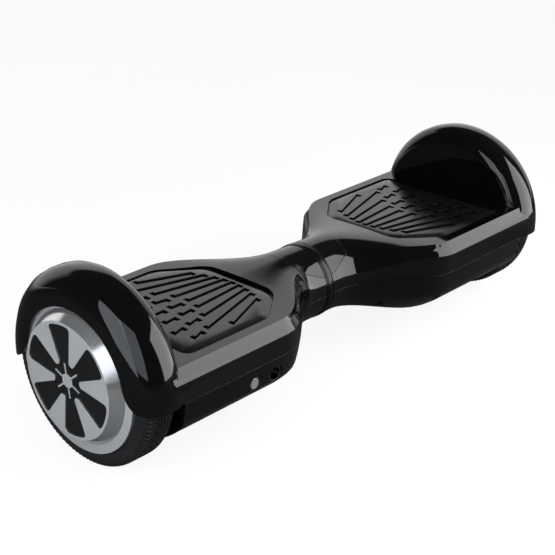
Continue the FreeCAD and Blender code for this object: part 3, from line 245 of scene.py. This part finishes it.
WELD = 0.002 * MM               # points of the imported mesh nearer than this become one


def smoothing():
    """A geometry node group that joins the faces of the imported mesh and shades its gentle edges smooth."""
    group = bpy.data.node_groups.new("smooth_faces", "GeometryNodeTree")
    for way in ("INPUT", "OUTPUT"):
        group.interface.new_socket("Geometry", in_out=way, socket_type="NodeSocketGeometry")
    nodes = Nodes(group)
    start = nodes.add("NodeGroupInput").outputs[0]
    last = nodes.add("GeometryNodeMergeByDistance", {"Geometry": start, "Distance": WELD}).outputs["Geometry"]
    for name in ("custom_normal", "sharp_edge", "sharp_face"):
        last = nodes.add("GeometryNodeRemoveAttribute", {"Geometry": last, "Name": name}).outputs["Geometry"]
    turn = nodes.add("GeometryNodeInputMeshEdgeAngle").outputs["Unsigned Angle"]
    compare = nodes.add("FunctionNodeCompare", {0: turn, 1: SHARP}, data_type="FLOAT", operation="LESS_THAN")
    for domain, smooth in (("FACE", True), ("EDGE", compare.outputs["Result"])):
        last = nodes.add("GeometryNodeSetShadeSmooth", {"Geometry": last, "Shade Smooth": smooth},
                         domain=domain).outputs[0]
    nodes.add("NodeGroupOutput", {0: last})
    return group


SMOOTH = smoothing()


def dress(node):
    """Gives a CAD node its finish and smooth faces."""
    for slot in node.material_slots:
        slot.material = FINISHES[slot.material.name.split(".")[0]]
    node.modifiers.new("smooth", "NODES").node_group = SMOOTH


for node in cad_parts.values():
    dress(node)


# ------------------------------------------------------------------------------------- pieces that stand in

def lathe(line, turns):
    """Points and faces of a closed line (x, radius) turned about the X axis."""
    verts, faces = [], []
    for t in range(turns):
        angle = 2 * math.pi * t / turns
        verts += [(x, r * math.sin(angle), r * math.cos(angle)) for x, r in line]
    for t in range(turns):
        here, there = t * len(line), (t + 1) % turns * len(line)
        for k in range(len(line)):
            after = (k + 1) % len(line)
            faces.append((here + k, here + after, there + after, there + k))
    return verts, faces


def stand_in(name, verts, faces, place, node, body, slot):
    """A piece of the scene that takes the place of a plainer CAD node."""
    mesh = bpy.data.meshes.new(name)
    mesh.from_pydata(verts, [], faces)
    mesh.validate()
    made = bpy.data.objects.new(name, mesh)
    bpy.context.collection.objects.link(made)
    made.location = place
    mesh.materials.append(FINISHES[slot])
    outward = bmesh.new()
    outward.from_mesh(mesh)
    bmesh.ops.recalc_face_normals(outward, faces=outward.faces)
    outward.to_mesh(mesh)
    outward.free()
    mesh.shade_smooth()
    mesh.set_sharp_from_angle(angle=SHARP)
    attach(made, body)
    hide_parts(node)


# ------------------------------------------------------------------------------------------------- tyres

PITCHES = 56                    # blocks in one row round the tyre
DEPTH = 1.5 * MM                # of the grooves between them
SHOULDER = 6.5 * MM             # radius from the tread to the side wall
BULGE = 3.2 * MM                # of the outer side wall past the plain solid, as the tyre is inflated
TYRE_TURNS = 120                # facets round the tyre

# The carcass's line from its bead to the middle of the tread, as (distance, depth below the outer line),
# both in mm. The distances start at the bead, at the shoulder's end and at the middle of the tread.
BEAD_LINE = ((0.0, 0.8), (-1.4, 0.8), (-1.8, 0.3))
WALL_LINE = ((4.2, 0.3), (3.8, 0.0), (2.4, 0.0), (2.0, 0.3), (0.6, 0.35))
CROWN_LINE = ((17.4, 0.3), (15.8, 0.35), (14.2, 0.4), (12.6, 0.4), (11.2, 0.4), (9.8, 0.4), (9.4, 0.1),
              (8.4, 0.0), (7.4, 0.1), (7.0, 1.3), (4.0, 1.5))
FOOT_DEPTH = 3.0 * MM           # of the carcass inside the rim
FOOT_TAPER = 2.0 * MM

# Rows of blocks on one half of the tread: inner and outer distance from its middle in mm, length as a share
# of the pitch, lean as distance round the tyre per distance across, and shift as a share of the pitch. The
# other half has the same rows, mirrored and shifted on by half a pitch.
ROWS = ((0.4, 3.1, 0.78, 0.9, 0.0), (3.9, 7.2, 0.78, 0.9, 0.35), (9.6, 15.6, 0.30, 0.35, 0.6),
        (9.6, 15.6, 0.30, 0.35, 0.1))
BLOCK_RIMS = ((DEPTH * 1.05, 0.0), (0.35 * MM, 0.25 * MM), (0.0, 0.6 * MM))     # depth, and inset of the rim
BLOCK_STEPS = 5                 # across one block


class TyreForm:
    """Outer line of the tyre across its width, measured from the middle of the tread."""

    def __init__(self, low, high):
        self.radius = (high.z - low.z) / 2
        self.half = (high.x - low.x) / 2
        self.middle = (low + high) / 2
        self.flat_end = self.half - SHOULDER
        self.round_end = self.flat_end + SHOULDER * math.pi / 2

    def point(self, across, sunk):
        """(x, radius) at a distance from the middle, sunk below the outer line."""
        away, sign = abs(across), 1 if across >= 0 else -1
        if away <= self.flat_end:
            x, radius, turn = away, self.radius, 0.0
        elif away <= self.round_end:
            turn = (away - self.flat_end) / SHOULDER
            x = self.flat_end + SHOULDER * math.sin(turn)
            radius = self.radius - SHOULDER * (1 - math.cos(turn))
        else:
            turn = math.pi / 2
            x, radius = self.half, self.radius - SHOULDER - (away - self.round_end)
        return sign * (x - sunk * math.sin(turn)), radius - sunk * math.cos(turn)

    def place(self, across, angle, sunk):
        """The point in space at an angle round the axle."""
        x, radius = self.point(across, sunk)
        return x, radius * math.sin(angle), radius * math.cos(angle)


def carcass(form, bore):
    """Ring under the blocks, as points (x, radius) from bead to bead, with a rib on each side wall."""
    bead = form.round_end + form.radius - SHOULDER - bore
    one = []
    for origin, line in ((bead, BEAD_LINE), (form.round_end, WALL_LINE), (0.0, CROWN_LINE)):
        one += [form.point(origin + across * MM, sunk * MM) for across, sunk in line]
    other = [(-x, r) for x, r in reversed(one)]
    inner = bore - FOOT_DEPTH
    foot = [(other[-1][0] + FOOT_TAPER, inner), (one[0][0] - FOOT_TAPER, inner)]
    return one + [form.point(0, DEPTH)] + other + foot


def block(form, near, far, start, length, lean):
    """Points and faces of one raised block of the tread, its top a little smaller than its foot."""
    verts, faces, rims = [], [], []
    shares = [k / BLOCK_STEPS for k in range(BLOCK_STEPS + 1)]
    for sunk, inset in BLOCK_RIMS:
        a, b = near + inset, far - inset
        going = [(share, inset / form.radius) for share in shares]
        coming = [(1 - share, length - inset / form.radius) for share in shares]
        rims.append(range(len(verts), len(verts) + len(going + coming)))
        for share, along in going + coming:
            across = a + (b - a) * share
            verts.append(form.place(across, start + lean * (across - near) / form.radius + along, sunk))
    count = len(rims[0])
    for lower, upper in zip(rims, rims[1:]):
        for k in range(count):
            after = (k + 1) % count
            faces.append((lower[k], lower[after], upper[after], upper[k]))
    top = rims[-1]
    for k in range(BLOCK_STEPS):
        faces.append((top[k], top[k + 1], top[count - 2 - k], top[count - 1 - k]))
    return verts, faces


def mirrored(verts, faces):
    """The same points and faces on the other side of the tread."""
    return [(-x, y, z) for x, y, z in verts], [face[::-1] for face in faces]


def tread(side):
    """Solid tyre with rows of slanted blocks round it, in place of its plain solid."""
    low, high = (corner.copy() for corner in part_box(side + "_tyre"))
    if side == "left":
        low.x -= BULGE
    else:
        high.x += BULGE
    rim_low, rim_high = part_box(side + "_rim")
    form = TyreForm(low, high)
    verts, faces = lathe(carcass(form, (rim_high.z - rim_low.z) / 2), TYRE_TURNS)

    def add(more_verts, more_faces):
        first = len(verts)
        verts.extend(more_verts)
        faces.extend(tuple(first + k for k in face) for face in more_faces)

    pitch = 2 * math.pi / PITCHES
    for t in range(PITCHES):
        for near, far, share, lean, shift in ROWS:
            span = (form, near * MM, far * MM)
            add(*block(*span, pitch * (t + shift), pitch * share, lean))
            add(*mirrored(*block(*span, pitch * (t + shift + 0.5), pitch * share, lean)))
    stand_in(side + "_tyre_tread", verts, faces, form.middle, side + "_tyre", side + "_wheel", "tread")


for side in ("left", "right"):
    tread(side)


# -------------------------------------------------------------------------------------------- neck joint

RING_SEAT = 0.92                # mm from the plain seal's radius to the mouldings' outer face
RING_BEAD = 0.68                # mm that the bead in the middle stands proud of that face
RING_TURNS = 160                # facets round the ring
RING_FOOT = 4.0                 # mm down into the gap
RING_GAP = (-0.7, 0.5)          # mm, the sides of the foot

# One lip of the ring towards the bead, as (distance from the middle, height over the mouldings) in mm.
LIP_LINE = ((-4.8, 0.0), (-4.8, 0.25), (-4.6, 0.42), (-3.9, 0.50), (-3.8, 0.04), (-2.6, 0.04), (-2.5, 0.50),
            (-1.4, 0.64))


def neck_ring():
    """Rubber ring in the twist joint. Its two lips and its bead lie over the ends of both mouldings."""
    low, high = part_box("pivot_seal")
    seat = (high.z - low.z) / 2 + RING_SEAT * MM
    foot = seat - RING_FOOT * MM
    one = [(x * MM, seat + rise * MM) for x, rise in LIP_LINE]
    bead = (0.0, seat + RING_BEAD * MM)
    other = [(-x, r) for x, r in reversed(one)]
    left, right = (x * MM for x in RING_GAP)
    line = one + [bead] + other + [(right, seat), (right, foot), (left, foot), (left, seat)]
    verts, faces = lathe(line, RING_TURNS)
    middle = Vector((0.0, 0.0, (low.z + high.z) / 2))
    stand_in("neck_ring", verts, faces, middle, "pivot_seal", "left_half", "seal")


neck_ring()


# ------------------------------------------------------------------------------------------------ studio

FLOOR_HALF = 6.0
FLOOR_DROP = 0.0005                 # keeps the floor just clear of the tyres
FLOOR_WHITE = 0.88                  # added to the floor that the camera sees
FLOOR_UNLIT = (0.13, 0.13, 0.13, 1)     # floor away from the sweep, as gloss sees it
AMBIENT = 0.35                      # what the room gives back as soft light
DARK = 0.05                         # the unlit part of the room, as gloss sees it
WHITE = (1, 1, 1, 1)
SWEEP = Vector((0.68, 0.73, 0.0))   # from the camera to the white sweep behind the object
SWEEP_FLOOR = (0.5, 1.6)            # metres along it over which the floor turns white
SWEEP_SIDES = (0.40, 0.60)          # how nearly a direction points along it, from the dark room to the sweep
SWEEP_TOP = (0.52, 0.60)            # height of a direction over which the sweep ends
CAMERA_PLACE = (-0.8909, -0.7904, 0.6123)
CAMERA_TURNS = (-47.27, 23.97, 0.10)    # azimuth, elevation and roll in degrees
LENS = 86.7


def any_of(nodes, *names):
    """One where a ray is of one of these kinds."""
    path = nodes.add("ShaderNodeLightPath")
    last = path.outputs[names[0]]
    for name in names[1:]:
        last = nodes.compute("MAXIMUM", last, path.outputs[name])
    return last


def seen(nodes, camera_sees, gloss_sees, light_sees):
    """One shader for the camera, one for reflections and glass, and one for soft light."""
    gloss = any_of(nodes, "Is Glossy Ray", "Is Transmission Ray")
    return nodes.mix(any_of(nodes, "Is Camera Ray"), nodes.mix(gloss, light_sees, gloss_sees), camera_sees)


def toward_sweep(nodes, direction, start, end):
    """One towards the white sweep and nought away from it."""
    along = nodes.add("ShaderNodeVectorMath", {0: direction, 1: SWEEP}, operation="DOT_PRODUCT")
    return nodes.ranged(along.outputs["Value"], start, end)


def floor():
    """A plain pale floor that keeps the object's shadow. Gloss sees it white only towards the sweep."""
    corners = [(x * FLOOR_HALF, y * FLOOR_HALF, 0) for x, y in ((-1, -1), (1, -1), (1, 1), (-1, 1))]
    mesh = bpy.data.meshes.new("floor")
    mesh.from_pydata(corners, [], [(0, 1, 2, 3)])
    plane = bpy.data.objects.new("floor", mesh)
    bpy.context.collection.objects.link(plane)
    plane.location.z = -FLOOR_DROP
    made, nodes = blank("pale_floor", grey(0.8))
    place = nodes.add("ShaderNodeTexCoord").outputs["Object"]
    colour = nodes.tint(nodes.noise(place, scale=3.0), grey(0.19), grey(0.21))
    matt = nodes.add("ShaderNodeBsdfDiffuse", {"Color": colour}).outputs[0]
    unlit = nodes.add("ShaderNodeBsdfDiffuse", {"Color": FLOOR_UNLIT}).outputs[0]
    white = nodes.add("ShaderNodeEmission", {"Color": WHITE, "Strength": FLOOR_WHITE}).outputs[0]
    bright = nodes.add("ShaderNodeAddShader", {0: matt, 1: white}).outputs[0]
    gloss = nodes.mix(toward_sweep(nodes, place, *SWEEP_FLOOR), unlit, bright)
    nodes.add("ShaderNodeOutputMaterial", {"Surface": seen(nodes, bright, gloss, matt)})
    mesh.materials.append(made)


def backdrop(nodes, level):
    """A white background of some brightness."""
    return nodes.add("ShaderNodeBackground", {"Color": WHITE, "Strength": level}).outputs[0]


def room():
    """White for the camera, soft light from all round, and a white sweep in a dim room for gloss."""
    world = bpy.data.worlds.new("studio")
    bpy.context.scene.world = world
    world.use_nodes = True
    nodes = Nodes(world.node_tree)
    direction = nodes.add("ShaderNodeTexCoord").outputs["Generated"]
    height = nodes.add("ShaderNodeSeparateXYZ", {"Vector": direction}).outputs["Z"]
    below_top = nodes.ranged(height, *SWEEP_TOP, 1.0, 0.0)
    sweep = nodes.compute("MULTIPLY", toward_sweep(nodes, direction, *SWEEP_SIDES), below_top)
    gloss = nodes.mix(sweep, backdrop(nodes, DARK), backdrop(nodes, 1.0))
    surface = seen(nodes, backdrop(nodes, 1.0), gloss, backdrop(nodes, AMBIENT))
    nodes.add("ShaderNodeOutputWorld", {"Surface": surface})


def softbox(name, *, place, aim, wide, high, level, colour=(1, 1, 1)):
    """A rectangular softbox. Level is its brightness beside a white background of 1."""
    data = bpy.data.lights.new(name, "AREA")
    data.shape = "RECTANGLE"
    data.size = wide
    data.size_y = high
    data.color = colour
    data.energy = level * math.pi * wide * high
    lamp = bpy.data.objects.new(name, data)
    bpy.context.collection.objects.link(lamp)
    lamp.location = place
    lamp.rotation_euler = (Vector(aim) - Vector(place)).to_track_quat("-Z", "Y").to_euler()
    lamp.visible_camera = False


def camera():
    """The photographer's place and lens."""
    azimuth, elevation, roll = (math.radians(turn) for turn in CAMERA_TURNS)
    back = Vector((math.sin(azimuth) * math.cos(elevation), -math.cos(azimuth) * math.cos(elevation),
                   math.sin(elevation)))
    side = Vector((math.cos(azimuth), math.sin(azimuth), 0))
    above = back.cross(side)
    right = side * math.cos(roll) + above * math.sin(roll)
    up = back.cross(right)
    data = bpy.data.cameras.new("camera")
    data.lens = LENS
    data.sensor_width = 36.0
    eye = bpy.data.objects.new("camera", data)
    bpy.context.collection.objects.link(eye)
    turned = Matrix((right, up, back)).transposed().to_4x4()
    eye.matrix_world = Matrix.Translation(CAMERA_PLACE) @ turned
    bpy.context.scene.camera = eye


floor()
room()

# A tall softbox at the near end, a large one in front, and a small card that lights the cone of the near hub.
softbox("left", place=(-0.96, -0.02, 0.43), aim=(-0.28, -0.02, 0.43), wide=0.50, high=0.84, level=2.4,
        colour=(0.88, 0.93, 1.0))
softbox("right", place=(0.44, -0.65, 0.41), aim=(-0.20, -0.09, 0.41), wide=0.85, high=0.80, level=4.0)
softbox("card", place=(-0.622, -0.306, 0.300), aim=(-0.285, -0.05, 0.12), wide=0.305, high=0.46, level=1.65,
        colour=(0.86, 0.92, 1.0))
camera()
bpy.context.scene.view_settings.view_transform = "Standard"
